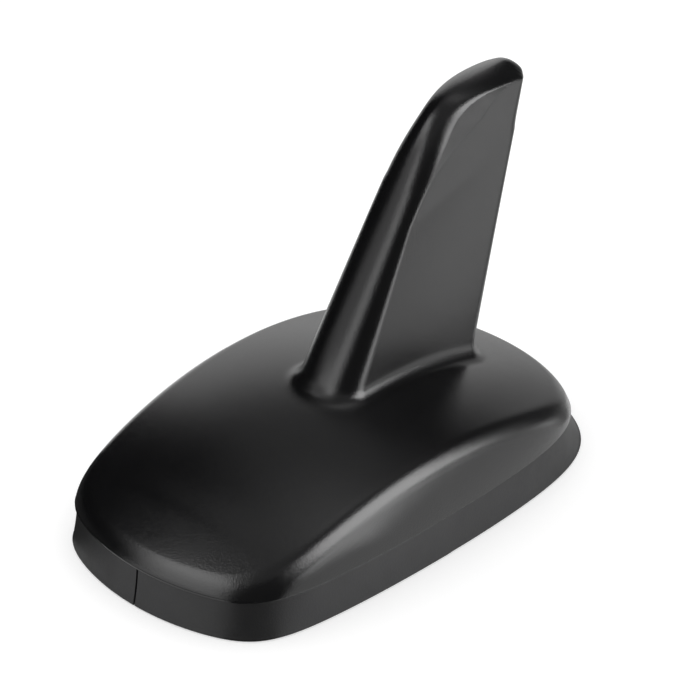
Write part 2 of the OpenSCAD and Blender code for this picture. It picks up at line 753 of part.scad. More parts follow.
// Foam block squeezed between the fin board and the roof of the fin's hollow
module fin_board_foam() {
    a = foam_roof[0];
    b = foam_roof[columns / 2];
    squeeze = 0.05;
    y0 = board_front_y(fin_board_top) + 3.5;
    y1 = board_rear_y(fin_board_top) - 3;
    color("#4a4b4d")
        translate([-foam_t / 2, 0, 0])
            rotate([90, 0, 90])
                linear_extrude(foam_t)
                    polygon([[y0, fin_board_top], [y1, fin_board_top],
                        [y1, mix(a.z, b.z, (y1 - a.y) / (b.y - a.y)) - squeeze],
                        [y0, mix(a.z, b.z, (y0 - a.y) / (b.y - a.y)) - squeeze]]);
}

// Loading coil: upright helix of enamelled wire beside the fin board
module loading_coil() {
    sides = 8;
    per_turn = 14;
    foot = board_top + 0.05;
    turns_low = foot + coil_leg;
    r = coil_d / 2;
    centre = [fin_board_t / 2 + r + coil_wire + coil_gap, coil_y];
    steps = coil_turns * per_turn;
    helix = [for (i = [0:steps])
        [centre.x + r * cos(360 * i / per_turn), centre.y + r * sin(360 * i / per_turn),
            turns_low + coil_pitch * i / per_turn]];
    path = concat([[centre.x + r, centre.y, foot], [centre.x + r, centre.y, turns_low - coil_end]], helix,
        [[centre.x + r, centre.y, turns_low + coil_pitch * coil_turns + coil_end]]);
    color("#b5652b")
        tube(path, coil_wire / 2, sides);
}

// Round wire along a path, with its rings square to the path
module tube(path, r, sides) {
    last = len(path) - 1;
    rings = [for (i = [0:last])
        let (d = path[min(i + 1, last)] - path[max(i - 1, 0)])
        let (way = d / norm(d))
        let (flat = norm([way.x, way.y]) > 0.3 ? cross([0, 0, 1], way) : [1, 0, 0])
        let (u = flat / norm(flat))
        let (v = cross(way, u))
        [for (k = [0:sides - 1]) path[i] + r * (u * cos(360 * k / sides) + v * sin(360 * k / sides))]];
    loft(rings);
}

// Satellite patch on the front of the board

module patch_ceramic() {
    bevel = 2;
    w = patch_w / 2;
    l = patch_l / 2;
    color("#cfc8b8")
        difference() {
            translate([0, patch_y, patch_bottom])
                linear_extrude(patch_h)
                    polygon([[-w, -l], [w - bevel, -l], [w, bevel - l], [w, l],
                        [bevel - w, l], [-w, l - bevel]]);
            translate([pin_at.x, pin_at.y, patch_bottom - 1])
                cylinder(d = pin_d + 2 * fit_gap, h = patch_h + 2, $fn = 24);
        }
}

module patch_tape() {
    size = [patch_w - 1.6, patch_l - 1.6, tape_t];
    color("#e6e2d4")
        difference() {
            translate([-size.x / 2, patch_y - size.y / 2, board_top])
                cube(size);
            translate([pin_at.x, pin_at.y, board_top - 1])
                cylinder(d = 2 * pin_d, h = tape_t + 2, $fn = 24);
        }
}

module patch_pin() {
    color("#d8b25a")
        translate([pin_at.x, pin_at.y, 0]) {
            translate([0, 0, post_top - 0.8])
                cylinder(d = pin_d, h = patch_bottom + patch_h - post_top + 0.9, $fn = 24);
            translate([0, 0, patch_bottom + patch_h])
                cylinder(d1 = 2.4, d2 = 1.6, h = 0.5, $fn = 32);
        }
}

// Parts soldered to the top of the main board

module shield_can() {
    corner = [-shield_size.x / 2, shield_y - shield_size.y / 2, board_top];
    hole_step = 4;
    holes = floor((shield_size.x - 3) / hole_step);
    color("#c4c6c8")
        difference() {
            translate(corner)
                cube(shield_size);
            translate(corner + [shield_skin, shield_skin, -shield_skin])
                cube(shield_size - [2 * shield_skin, 2 * shield_skin, 0]);
            for (i = [0:holes - 1], y = [-2.4, 2.4])
                translate([(i - (holes - 1) / 2) * hole_step, shield_y + y, board_top])
                    cylinder(d = 1.4, h = shield_size.z + 1, $fn = 20);
        }
}

module amplifier_chip() {
    color("#17181a")
        translate([-chip_size.x / 2, shield_y - chip_size.y / 2, board_top])
            difference() {
                cube(chip_size);
                translate([0.8, 0.8, chip_size.z - 0.1])
                    cylinder(d = 0.6, h = 1, $fn = 20);
            }
}

module filter_blocks() {
    color("#b9b2a0")
        for (y = [-chip_size.y / 2 - filter_gap - filter_size.y, chip_size.y / 2 + filter_gap])
            translate([-filter_size.x / 2, shield_y + y, board_top])
                cube(filter_size);
}

// Chip capacitor: ceramic body between two slightly proud metal ends
module chip_capacitor() {
    proud = capacitor_cap[1];
    cap = [capacitor_cap[0], capacitor_size.y + 2 * proud, capacitor_size.z + 2 * proud];
    translate([0, 0, cap.z / 2]) {
        cube(capacitor_size, center = true);
        for (x = [-1, 1] * (capacitor_size.x + cap.x - 2 * proud) / 2)
            translate([x, 0, 0])
                cube(cap, center = true);
    }
}

module chip_capacitors() {
    color("#a98d6a")
        for (x = [-1, 1] * (board_w / 2 - capacitor_in), i = [0:4])
            translate([x, shield_y + (i - 1.5) * capacitor_step, board_top])
                chip_capacitor();
}

module feed_choke() {
    rim = choke_size[0] / 2;
    waist = rim - 0.8;
    top = choke_size[1];
    color("#3a3c40")
        translate([choke_in - board_w / 2, (clip_ys[0] + clip_ys[1]) / 2, board_top])
            rotate_extrude($fn = 40)
                polygon([[0, 0], [rim, 0], [rim, 0.7], [waist, 0.9], [waist, top - 0.9], [rim, top - 0.7],
                    [rim, top], [0, top]]);
}

// Sprung clips that grip the fin board on both faces
module contact_clip() {
    gap = fin_board_t / 2 + clip_gap;
    back = gap + clip_bow;
    waist = clip_h * 0.57;
    rotate([90, 0, 0])
        linear_extrude(clip_w, center = true)
            polygon([[back, 0], [gap + clip_foot, 0], [gap + clip_foot, clip_leaf],
                [back + clip_leaf, clip_leaf], [gap + clip_leaf, waist], [back + clip_leaf, clip_h],
                [back, clip_h], [gap, waist], [back, clip_leaf]]);
}

module contact_clips() {
    color("#d6b46a")
        for (y = clip_ys)
            for (side = [0, 1])
                mirror([side, 0, 0])
                    translate([0, y, board_top])
                        contact_clip();
}

module coax_sockets() {
    color("#d8b25a")
        for (x = [-socket_x, socket_x])
            translate([x, socket_y, board_top])
                difference() {
                    union() {
                        translate([-socket_size.x / 2, -socket_size.y / 2, 0])
                            cube(socket_size);
                        cylinder(d = socket_d, h = socket_h, $fn = 32);
                    }
                    translate([0, 0, socket_size.z])
                        difference() {
                            cylinder(d = socket_d - 0.7, h = socket_h, $fn = 32);
                            cylinder(d = 0.7, h = 1.1, $fn = 20);
                        }
                }
}

cover();
skirt();
base_plate();
seal_cord();
adhesive_pad();
cover_screws();
lead_gland();
main_board();
board_screws();
fin_board();
fin_board_foam();
loading_coil();
patch_ceramic();
patch_tape();
patch_pin();
shield_can();
amplifier_chip();
filter_blocks();
chip_capacitors();
feed_choke();
contact_clips();
coax_sockets();
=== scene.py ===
import math

import bpy
import numpy as np
from mathutils import Matrix, Vector


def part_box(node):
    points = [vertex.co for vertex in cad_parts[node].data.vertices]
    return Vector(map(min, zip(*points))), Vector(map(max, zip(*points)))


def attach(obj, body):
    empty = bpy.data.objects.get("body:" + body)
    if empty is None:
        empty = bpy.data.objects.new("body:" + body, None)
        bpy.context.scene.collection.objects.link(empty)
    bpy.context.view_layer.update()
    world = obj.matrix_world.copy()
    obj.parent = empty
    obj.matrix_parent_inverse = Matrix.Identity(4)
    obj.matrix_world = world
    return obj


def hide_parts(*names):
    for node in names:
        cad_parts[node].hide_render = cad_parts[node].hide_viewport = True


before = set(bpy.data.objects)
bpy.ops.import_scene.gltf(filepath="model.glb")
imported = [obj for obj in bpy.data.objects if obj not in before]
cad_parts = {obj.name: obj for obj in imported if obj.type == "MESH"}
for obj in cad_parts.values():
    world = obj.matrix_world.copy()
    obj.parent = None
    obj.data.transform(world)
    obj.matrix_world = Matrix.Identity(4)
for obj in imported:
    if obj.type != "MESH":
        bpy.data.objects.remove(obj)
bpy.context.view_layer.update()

# Shark fin roof aerial. The cover and the skirt are lofted here from the same sizes as the solids,
# with many more columns, because light on satin black shows every flat. All sizes below are in
# millimetres and all angles in degrees; MM and UM turn millimetres and micrometres to Blender's metres.

MM = 0.001
UM = 1e-6
TINY = 1e-6

# Foot and plan outline
foot_l = 104.0
foot_w = 61.0
rim_h = 7.9
nose_flare = 0.8
side_flare = 0.5
tail_flare = 3.2
rim_overhang = 0.4
joint_gap = 0.3
side_bow_r = 342.0
nose_bow_r = 49.5
tail_bow_r = 42.0
widest_y = 6.3
nose_square = 13.6
tail_square = 9.6
cover_front = foot_l / 2 - nose_flare
cover_rear = foot_l / 2 - tail_flare
cover_half = foot_w / 2 - side_flare

# Arched cover
crown_h = 23.2
crown_front = 1.5
crown_long_r = 94.5
crown_cross_r = 111.0
shoulder_r = 3.5
side_draft = 9.8
wall = 2.0
inner_setback = 0.3
rim_round = 0.35

# Fin
fin_front = 5.8
fin_lean = 32.7
knee_down = 21.8
tip_h = 72.6
tip_y = cover_rear
tip_r = 3.1
rear_lean = 15.9
knee_full = 28.9
tip_full = 18.0
tip_lean = 89.5
knee_drop = 8.1
foot_t, knee_t, tip_t = 14.9, 10.2, 9.3
rear_foot_t, rear_knee_t, rear_tip_t = 13.0, 9.6, 9.6
face_bow, tip_face_bow = 0.75, 0.77
bevel_low, bevel_slope, bevel_step = 1.9, 0.15, 0.6
# Steps along the fin (see front_at) at which the bevel starts, is widest and has ended
bevel_at = (1.1, 1.4, 2.0)
rear_bow, tip_bow = 4.2, 3.8
tip_round = 1.6
fillet_r = 3.0
# Step along the fin down to which its wall is plain
fillet_top = 0.15

# Foot of the cover, the plate it stands on and the screw bosses
pad_t = 1.1
plate_t = 2.5
tongue_in = 2.7
tongue_t = 1.8
tongue_root = 1.4
lip_w = 2.4
fit_gap = 0.1
plate_top = pad_t + plate_t
boss_h = 2.0
boss_d = 6.6
screw_bore_d = 3.0
screw_end = 13.4
screw_places = [(x, y) for x in (-18.7, 18.7) for y in (-34.7, 33.2)]

# Rubber skirt
hem_r = 0.35
top_edge_r = 0.3
flare_power = 1.5

# Columns round each ring, and how half of them split between front face, bevel, flat and rear
COLUMNS = 288
FACE_COLS, BEVEL_COLS, BACK_COLS = 40, 14, 34
FLAT_COLS = COLUMNS // 2 - FACE_COLS - BEVEL_COLS - BACK_COLS
BOSS_COLS = 48
# How strongly the columns crowd at the corners of the plan, and the rings towards the tip of the fin
CORNER_BIAS = 0.5
TIP_BIAS = 1.4
# Rings on each stretch of the cover, from the tip down, and on the skirt's wall
CAP_ROWS, BLADE_ROWS, WALL_ROWS, FILLET_ROWS, TOP_ROWS, SHOULDER_ROWS = 20, 73, 22, 15, 32, 20
SKIRT_ROWS = 22
# A step from face to bevel smaller than this is no bevel, and edges sharper than this angle stay sharp
NO_BEVEL = 0.01
SHARP_EDGE = 40


def sin(a):
    """Sine of an angle in degrees."""
    return np.sin(np.radians(a))


def cos(a):
    """Cosine of an angle in degrees."""
    return np.cos(np.radians(a))


def mix(a, b, t):
    """Value a share t of the way from a to b."""
    return a * (1 - t) + b * t


# Plan outline: two long side arcs, a nose arc and a tail arc, melted together at the corners

def reach(c, s, cx, cy, r):
    """Distance from the middle to the far side of a circle, in the direction (c, s)."""
    b = -cx * c - cy * s
    return -b + np.sqrt(b * b - cx * cx - cy * cy + r * r)


def turns(columns=COLUMNS, gap=0.0):
    """Angles of the columns, starting at the nose; gap leaves room there for the skirt's joint."""
    if gap:
        a = np.linspace(-90 + gap, 270 - gap, columns)
    else:
        a = 360 * np.arange(columns) / columns - 90
    return a + CORNER_BIAS * np.degrees(sin(4 * a)) / 4


def plan(inset, grow=0.0, angles=None):
    """Outline drawn in by inset, with the skirt's flare where grow is 1."""
    a = turns() if angles is None else angles
    half = cover_half + grow * side_flare - inset
    front = cover_front + grow * nose_flare - inset
    rear = cover_rear + grow * tail_flare - inset
    x, y = half * cos(a), foot_l / 2 * sin(a)
    c, s = np.abs(x) / np.hypot(x, y), y / np.hypot(x, y)
    side = reach(c, s, half - side_bow_r, widest_y, side_bow_r)
    nose = reach(c, s, 0, nose_bow_r - front, nose_bow_r)
    tail = reach(c, s, 0, rear - tail_bow_r, tail_bow_r)
    n = tail_square + (nose_square - tail_square) * (1 - s) / 2
    r = (side ** -n + np.where(s < 0, nose, tail) ** -n) ** (-1 / n)
    return np.stack([r * c * np.sign(x), r * s], -1)


def outward(points):
    """Outward direction of a closed outline at each of its points."""
    d = np.roll(points, -1, 0) - np.roll(points, 1, 0)
    return np.stack([d[:, 1], -d[:, 0]], -1) / np.linalg.norm(d[:, :2], axis=1)[:, None]


def at_height(points, z):
    """The points of an outline, lifted to the height z."""
    return np.column_stack([points, np.broadcast_to(z, len(points))])


# Arched top and its shoulder

def crown(p, sink=0.0):
    """Height of the arched top over the places p, lowered by sink."""
    x, y = p[..., 0], p[..., 1]
    return crown_h - sink - (y + crown_front) ** 2 / (2 * crown_long_r) - x ** 2 / (2 * crown_cross_r)


def shoulder_ring(lift, inset, sink, r, low):
    """Ring of the shoulder whose skin faces lift degrees up, from a rounding of radius r that shrinks where
    the arched top comes down to low."""
    edge = plan(inset)
    short = 1 - sin(side_draft)
    free = np.maximum(crown(edge, sink) - low, 0)
    rk = np.minimum(r, free / short)
    rise = np.maximum(free - rk * short, 0)
    inwards = np.tan(np.radians(side_draft)) * rise + rk * (cos(side_draft) - cos(lift))
    p = edge - outward(edge) * inwards[:, None]
    return at_height(p, np.maximum(crown(p, sink) - rk * (1 - sin(lift)), low))


# Fin

def settle(p, way, sink, tries=6):
    """Where lines through p along way meet the arched top, found in a few steps."""
    for _ in range(tries):
        slope = -(p[:, 1] + crown_front) / crown_long_r * way[:, 1] - p[:, 0] / crown_cross_r * way[:, 0]
        p = p + way * ((crown(p, sink) - p[:, 2]) / (way[:, 2] - slope))[:, None]
    return p


lead_way = np.array([sin(fin_lean), cos(fin_lean)])
rear_way = np.array([sin(rear_lean), cos(rear_lean)])
tip_centre = np.array([tip_y - tip_r, tip_h - tip_r])
top_end = tip_centre + tip_r * np.array([-cos(tip_lean), sin(tip_lean)])
rear_out = np.array([rear_way[1], -rear_way[0]])
rear_end = tip_centre + tip_r * rear_out
lead_foot = np.array([-fin_front, crown(np.array([0, -fin_front]))])
knee = lead_foot + lead_way * (tip_h - knee_down - lead_foot[1]) / lead_way[1]
rear_foot = settle(np.array([[0, *rear_end]]), np.array([[0, *rear_way]]), 0)[0, 1:]
rear_knee = rear_end - rear_way * knee_drop
knee_pull = knee + lead_way * knee_full
top_pull = top_end - tip_full * np.array([sin(tip_lean), cos(tip_lean)])


def bend(a, b, c, d, u):
    """Place at u on the curve from a to d that b and c pull on."""
    return (1 - u) ** 3 * a + 3 * (1 - u) ** 2 * u * b + 3 * (1 - u) * u * u * c + u ** 3 * d


def corner(u):
    """Place on the tip's corner, from the end of the top edge (u = 0) to the rear edge (u = 1)."""
    a = mix(180 - tip_lean, -rear_lean, u)
    return tip_centre + tip_r * np.array([cos(a), sin(a)])


def front_at(t):
    """Front end of the section at step t: 0 foot, 1 knee, 2 start of the tip's corner, 3 its middle."""
    if t < 1:
        return mix(lead_foot, knee, t)
    return bend(knee, knee_pull, top_pull, top_end, t - 1) if t < 2 else corner((t - 2) / 2)


def rear_at(t):
    """Rear end of the section at step t."""
    if t < 1:
        return mix(rear_foot, rear_knee, t)
    return mix(rear_knee, rear_end, t - 1) if t < 2 else corner(1 - (t - 2) / 2)


def by_step(foot, middle, tip, t):
    """Value at step t that is given at the foot, at the knee and from the tip's corner on."""
    return mix(foot, middle, t) if t < 1 else mix(middle, tip, min(t - 1, 1))


def ease(a, b, t):
    """Smooth rise from 0 at a to 1 at b."""
    u = max(min((t - a) / (b - a), 1), 0)
    return u * u * (3 - 2 * u)


def rounding(v, n):
    """Height of a rounding at v, which is 1 at its edge and 0 where it is full; n = 2 is an ellipse."""
    return np.maximum(1 - np.abs(v) ** n, 0) ** (1 / n)


def face_share(d, face, low, bevel, n):
    """Share of the full thickness at distance d from the front edge: a rounding, then a bevel to low."""
    k = bevel / (1 - bevel) * face / (low - face) if low > face + NO_BEVEL else 0
    q = (k / (1 - k)) ** (1 / (n - 1))
    arc = (1 - bevel) * rounding(1 - np.minimum(d, face) * (1 - q) / face, n) / rounding(q, n)
    bevelled = mix(1 - bevel, 1, (d - face) / max(low - face, NO_BEVEL))
    return np.where(d >= low, 1, np.where(d >= face, bevelled, arc))


def back_share(d, bow, n):
    """Share of the full thickness at distance d from the rear edge, which is rounded over bow."""
    return np.where(d >= bow, 1, rounding(1 - np.maximum(d, 0) / max(bow, TINY), n))


def column_places(length, face, low, back):
    """Distances of half a ring's columns from its front end, closest on the two rounded ends."""
    k = np.arange(COLUMNS // 2 + 1)
    in_face = face * (1 - cos(90 * k / FACE_COLS))
    in_bevel = mix(face, low, (k - FACE_COLS) / BEVEL_COLS)
    in_flat = mix(low, length - back, (k - FACE_COLS - BEVEL_COLS) / FLAT_COLS)
    in_back = length - back * (1 - sin(90 * (k - COLUMNS / 2 + BACK_COLS) / BACK_COLS))
    return np.select([k <= FACE_COLS, k <= FACE_COLS + BEVEL_COLS, k <= COLUMNS / 2 - BACK_COLS],
                     [in_face, in_bevel, in_flat], in_back)


def fin_ring(t, skin=0.0):
    """Ring of the fin at step t, drawn in by skin, with roundings a little smaller inside than outside. They
    take up to half of a short section near the tip, and the front one up to 0.3 of it."""
    a = front_at(t)
    chord = np.linalg.norm(rear_at(t) - a)
    way = (rear_at(t) - a) / chord
    length = chord - 2 * skin
    front = by_step(foot_t, knee_t, tip_t, t) / 2
    rear = by_step(rear_foot_t, rear_knee_t, rear_tip_t, t) / 2
    deep = by_step(face_bow, face_bow, tip_face_bow, t)
    n = by_step(2, 2, tip_round, t)
    swell = ease(bevel_at[0], bevel_at[1], t) * (1 - ease(bevel_at[1], bevel_at[2], t))
    face = deep * front - skin / 4
    low = face + (bevel_low - deep) * front * swell
    bow = by_step(rear_bow, rear_bow, tip_bow, t) - skin / 2
    d = column_places(length, min(face, 0.3 * length), min(max(low, face + bevel_step), 0.5 * length),
                      min(bow, 0.5 * length))
    p = a + way * (d + skin)[:, None]
    behind = mix(length - d, (rear_end - p) @ rear_out - skin, min(max(2 * t - 2, 0), 1))
    share = (face_share(d, face, low, bevel_slope * (low - face) / front, n) * back_share(behind, bow, n)
             * back_share(length - d, face * max(t - 2, 0), 2))
    x = (mix(front, rear, d / length) - skin) * share
    half = np.column_stack([x, p])
    other = half[-2:0:-1] * [-1, 1, 1]
    return np.vstack([half, other])


def column_ways(skin):
    """Directions in which the fin's columns rise between foot and knee."""
    d = fin_ring(0.5, skin) - fin_ring(0, skin)
    return d / np.linalg.norm(d, axis=1)[:, None]


def foot_ring(skin, sink):
    """Ring where the fin's columns meet the arched top, or the inside of both."""
    return settle(fin_ring(0, skin), column_ways(skin), sink)


def fillet_ring(u):
    """Ring of the fillet between the arched top (u = 0) and the fin's wall (u = 1)."""
    foot, ways = foot_ring(0, 0), column_ways(0)
    flat = foot[:, :2] + outward(foot) * fillet_r
    d = at_height(flat, crown(flat))
    return mix(mix(d, foot, u), mix(foot, foot + ways * fillet_r, u), u)


def top_ring(start, end, u, sink):
    """Ring on the arched top, a share u of the way from one ring to another."""
    p = mix(start, end, u)[:, :2]
    return at_height(p, crown(p, sink))


# Meshes

def new_object(name, verts, faces):
    """A mesh object in the scene, from corners in metres."""
    mesh = bpy.data.meshes.new(name)
    mesh.from_pydata(verts, [], faces)
    obj = bpy.data.objects.new(name, mesh)
    bpy.context.scene.collection.objects.link(obj)
    return obj


def piece(name, verts, faces, slot, *stands_for):
    """A mesh in the row frame, smooth except across sharp edges, riding on the part."""
    obj = new_object(name, (np.asarray(verts) * MM).tolist(), faces)
    obj.data.validate()
    obj.data.shade_smooth()
    obj.data.set_sharp_from_angle(angle=math.radians(SHARP_EDGE))
    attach(obj, "root")
    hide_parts(*stands_for)
    return obj


def ring_faces(rings, n, first=0, closed=True):
    """Quads between rings of n points each. They face outwards where the rings run anticlockwise, seen from
    above, and are stacked bottom to top."""
    faces = []
    last = n if closed else n - 1
    for i in range(rings - 1):
        for k in range(last):
            a, b = first + i * n + k, first + i * n + (k + 1) % n
            faces.append((a, b, b + n, a + n))
    return faces


def boss(x, y):
    """Verts and faces of a screw boss: a tube from the plate's bosses up into the arched top."""
    n = BOSS_COLS
    a = 360 * np.arange(n) / n
    rim = np.column_stack([cos(a), sin(a)])
    low = plate_top + boss_h
    roof = rim * boss_d / 2 + (x, y)
    stack = [(screw_bore_d / 2, screw_end), (screw_bore_d / 2, low), (boss_d / 2, low)]
    rings = [at_height(rim * r + (x, y), z) for r, z in stack]
    rings.append(at_height(roof, crown(roof) - wall / 2))
    faces = ring_faces(4, n) + [tuple(range(n))[::-1], tuple(range(3 * n, 4 * n))]
    return np.vstack(rings), faces


def cover_rings():
    """The cover's skin from the tip down the outside, round the rim and tongue and up the inside."""
    outside = [fin_ring(t) for t in 2 + sin(90 * np.arange(CAP_ROWS - 1, 0, -1) / CAP_ROWS)]
    outside += [fin_ring(t) for t in 2 - np.linspace(0, 1, BLADE_ROWS) ** TIP_BIAS]
    outside += [fin_ring(t) for t in np.linspace(1, fillet_top, WALL_ROWS)[1:]]
    outside += [fillet_ring(u) for u in np.linspace(1, 0, FILLET_ROWS)]
    edge = shoulder_ring(90, 0, 0, shoulder_r, rim_h)
    foot = fillet_ring(0)
    outside += [top_ring(foot, edge, u, 0) for u in np.linspace(0, 1, TOP_ROWS)[1:-1]]
    lifts = np.linspace(90, side_draft, SHOULDER_ROWS)
    outside += [shoulder_ring(lift, 0, 0, shoulder_r, rim_h) for lift in lifts]
    rim = [at_height(plan(rim_round * (1 - cos(a))), rim_h + rim_round * (1 - sin(a)))
           for a in (0, 30, 60, 90)]
    step = rim_h + tongue_root
    inset_in = wall + inner_setback
    tongue = [at_height(plan(inset), z) for inset, z in
              ((tongue_in, rim_h), (tongue_in, plate_top), (tongue_in + tongue_t, plate_top),
               (tongue_in + tongue_t, step), (inset_in, step))]
    inner = [shoulder_ring(lift, inset_in, wall, shoulder_r - wall, step)
             for lift in (side_draft, 40, 65, 90)]
    low_foot = foot_ring(wall, wall)
    inner += [top_ring(inner[-1], low_foot, u, wall) for u in (0.25, 0.5, 0.75)] + [low_foot]
    # The hollow in the fin ends a little above the knee
    inner += [fin_ring(t, wall) for t in (0.55, 1, 1.1, 1.2)]
    return outside + rim + tongue + inner


def cover_piece():
    """One closed skin from the tip's apex to the roof of the hollow, and the four screw bosses."""
    rings = cover_rings()
    n = COLUMNS
    apex = np.array([[0, *corner(0.5)]])
    # The stack runs downwards on the outside, so its quads are turned over
    body = [f[::-1] for f in ring_faces(len(rings), n, 1)]
    cap = [(0, 1 + k, 1 + (k + 1) % n) for k in range(n)]
    last = 1 + (len(rings) - 1) * n
    roof = [tuple(last + k for k in range(n))[::-1]]
    verts, faces = [apex] + rings, cap + body + roof
    count = 1 + len(rings) * n
    for x, y in screw_places:
        v, f = boss(x, y)
        verts.append(v)
        faces += [tuple(i + count for i in face) for face in f]
        count += len(v)
    return piece("cover_moulding", np.vstack(verts), faces, "cover_plastic", "cover")


def skirt_piece():
    """Rubber ring, butt jointed at the nose: each station is one closed profile of the ring's wall."""
    angles = turns(COLUMNS + 1, gap=math.degrees(joint_gap / 2 / cover_half))
    foot = plan(0, 1, angles)
    top = plan(rim_overhang, 0, angles)
    # Outside: the flare eases into the upright top, with a rounded hem and a rounded top edge
    heights = np.linspace(hem_r, rim_h - top_edge_r, SKIRT_ROWS)
    flare = [(1 - z / rim_h) ** flare_power if z > hem_r else 1 for z in heights]
    out = (foot - top) / np.linalg.norm(foot - top, axis=1)[:, None]
    outline = [at_height(foot - out * hem_r * (1 - sin(a)), hem_r * (1 - cos(a))) for a in (0, 30, 60)]
    outline += [at_height(mix(top, foot, share), z) for share, z in zip(flare, heights)]
    outline += [at_height(top - out * top_edge_r * (1 - cos(a)), rim_h - top_edge_r * (1 - sin(a)))
                for a in (30, 60, 90)]
    # Inside: down past the tongue and the plate's rim, and along the lip that grips below the plate
    inner = [(tongue_in - fit_gap, rim_h), (tongue_in - fit_gap, pad_t), (tongue_in + lip_w, pad_t),
             (tongue_in + lip_w, 0)]
    outline += [at_height(plan(inset, 0, angles), z) for inset, z in inner]
    m, n = len(outline), len(angles)
    verts = np.stack(outline, 1).reshape(-1, 3)
    faces = [(j * m + i, j * m + (i + 1) % m, (j + 1) * m + (i + 1) % m, (j + 1) * m + i)
             for j in range(n - 1) for i in range(m)]
    faces = [f[::-1] for f in faces] + [tuple(range(m)), tuple((n - 1) * m + i for i in range(m))[::-1]]
    return piece("skirt_moulding", verts, faces, "skirt_rubber", "skirt")


# Materials. Patterns are drawn in object space, so their scales are real sizes on the part.

def linear(code, alpha=1.0):
    """Linear colour of an sRGB hex value."""
    levels = [int(code[i:i + 2], 16) / 255 for i in (1, 3, 5)]
    return (*[v / 12.92 if v <= 0.04045 else ((v + 0.055) / 1.055) ** 2.4 for v in levels], alpha)


def add(tree, kind, links=(), values=(), **settings):
    """Adds a node. settings name its properties or its inputs; links are (input, output socket) and values
    (input, constant), where an input is a name or a number."""
    node = tree.nodes.new(kind)

    def entry(key):
        if isinstance(key, int):
            return node.inputs[key]
        return next(s for s in node.inputs if s.name.lower() == key.lower() and s.enabled)

    for key, value in settings.items():
        if hasattr(node, key):
            setattr(node, key, value)
        else:
            entry(key.replace("_", " ")).default_value = value
    for key, value in values:
        entry(key).default_value = value
    for key, source in links:
        tree.links.new(source, entry(key))
    return node


def blank_material(name):
    """A new material and its empty node tree."""
    material = bpy.data.materials.new(name)
    material.use_nodes = True
    material.node_tree.nodes.clear()
    return material, material.node_tree


def per_mm(size):
    """Texture scale at which one cell measures size millimetres."""
    return 1 / (size * MM)


# Noise seldom leaves this range, so colours and roughness are spread over it
NOISE_RANGE = (0.3, 0.7)
# Share of the blotch size over which the roughness drifts
WEAR_SHARE = 0.4
# Blender's wave texture runs through this many radians in one unit
WAVE_RADIANS = 20
# Numbers of a mix node's two colour inputs
MIX_A, MIX_B = 6, 7


def surface(name, dark, light, blotch_mm, rough, grain_mm, grain_um, **shader):
    """Material whose colour drifts between dark and light over blotch_mm, whose roughness drifts over the
    pair rough, and whose grain is grain_mm wide and grain_um deep. Returns it with its tree, shader and
    colour."""
    material, tree = blank_material(name)
    place = add(tree, "ShaderNodeTexCoord").outputs["Object"]
    drift = add(tree, "ShaderNodeTexNoise", [("Vector", place)], Scale=per_mm(blotch_mm), Detail=4.0)
    colour = add(tree, "ShaderNodeValToRGB", [("Fac", drift.outputs["Fac"])])
    for end, at, shade in zip(colour.color_ramp.elements, NOISE_RANGE, (dark, light)):
        end.position = at
        end.color = linear(shade)
    wear = add(tree, "ShaderNodeTexNoise", [("Vector", place)], Scale=per_mm(blotch_mm * WEAR_SHARE),
               Detail=5.0)
    roughness = add(tree, "ShaderNodeMapRange", [("Value", wear.outputs["Fac"])], From_Min=NOISE_RANGE[0],
                    From_Max=NOISE_RANGE[1], To_Min=rough[0], To_Max=rough[1])
    grain = add(tree, "ShaderNodeTexNoise", [("Vector", place)], Scale=per_mm(grain_mm), Detail=3.0,
                Roughness=0.55)
    bump = add(tree, "ShaderNodeBump", [("Height", grain.outputs["Fac"])], Distance=grain_um * UM)
    bsdf = add(tree, "ShaderNodeBsdfPrincipled",
               [("Base Color", colour.outputs["Color"]), ("Roughness", roughness.outputs[0]),
                ("Normal", bump.outputs[0])], **shader)
    add(tree, "ShaderNodeOutputMaterial", [("Surface", bsdf.outputs[0])])
    return material, tree, bsdf, colour.outputs["Color"]


def metal(name, dark, light, rough, grain_mm, grain_um):
    """Bare metal, with tarnish that drifts over three millimetres."""
    return surface(name, dark, light, 3, rough, grain_mm, grain_um, Metallic=1.0)[0]


def moulded_abs():
    """Mass-coloured ABS from a spark-eroded mould: deep black, satin, with a grain of about a third of a
    millimetre, drawn deeper than the real one so that it still roughens the highlights at this distance."""
    return surface("moulded_abs", "#0c0c0d", "#111112", 22, (0.16, 0.2), 0.3, 42, IOR=1.54)[0]


def moulded_epdm():
    """EPDM rubber pressed in a plain steel mould: a shade greyer than the cover, even and matt, with a soft
    bloom that comes and goes along the skirt."""
    return surface("moulded_epdm", "#131314", "#19191b", 14, (0.5, 0.6), 0.4, 30, IOR=1.5)[0]


def filled_nylon():
    """Glass-filled nylon: near black, dry, and uneven in gloss where fibres reach the skin."""
    return surface("filled_nylon", "#0e0e0f", "#19191b", 6, (0.45, 0.62), 0.5, 10, IOR=1.53)[0]


def silicone_cord():
    """Extruded silicone: grey, matt and faintly translucent."""
    return surface("silicone_cord", "#83878b", "#94989d", 4, (0.5, 0.6), 0.3, 5, IOR=1.41,
                   Subsurface_Weight=0.1)[0]


def foam_tape():
    """Closed-cell acrylic foam: dark grey, dull, pitted with cells about half a millimetre wide."""
    material, tree, bsdf, _ = surface("foam_tape", "#303134", "#3e3f43", 8, (0.8, 0.9), 0.5, 20, IOR=1.48)
    place = add(tree, "ShaderNodeTexCoord").outputs["Object"]
    cells = add(tree, "ShaderNodeTexVoronoi", [("Vector", place)], Scale=per_mm(0.55))
    pits = add(tree, "ShaderNodeBump", [("Height", cells.outputs["Distance"])], Distance=60 * UM)
    tree.links.new(pits.outputs[0], bsdf.inputs["Normal"])
    return material


